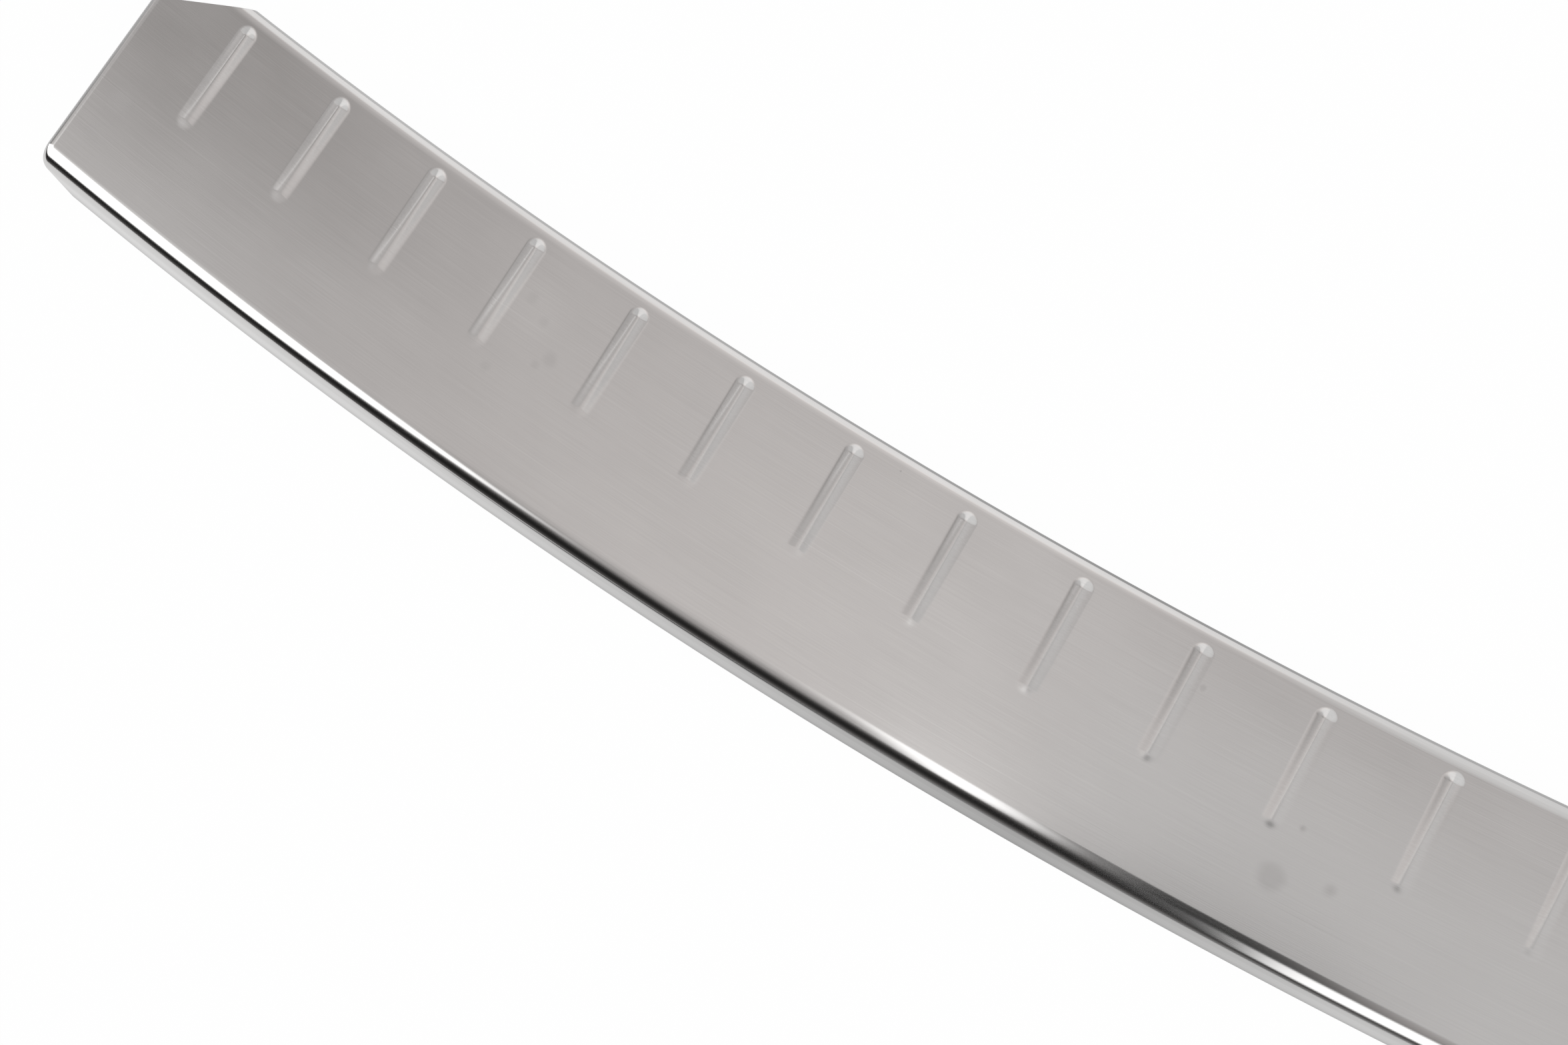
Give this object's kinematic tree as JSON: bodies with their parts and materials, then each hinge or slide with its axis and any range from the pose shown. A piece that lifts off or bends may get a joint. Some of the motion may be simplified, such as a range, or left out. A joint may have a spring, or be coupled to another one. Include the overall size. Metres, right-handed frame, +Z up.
{
  "type": "rear bumper protector",
  "caption": "Long curved stainless steel loading-edge cover: a flat ribbed plate with a wide rounded front fold, turned-down ends and a small back lip.",
  "frame": {"origin": "centre of the box round the part, at the height of the flange's lower edge", "axes": "+X along the bumper, +Y towards the tailgate (the back lip's side), +Z up out of the ribbed face"},
  "size_m": [1.115, 0.1524, 0.0165],
  "materials": {
    "satin_steel": "satin stainless steel with a fine lengthwise grain, smoother and glossier on the bends"
  },
  "bodies": {
    "root": {"protector_sheet": "satin_steel"}
  },
  "joints": []
}
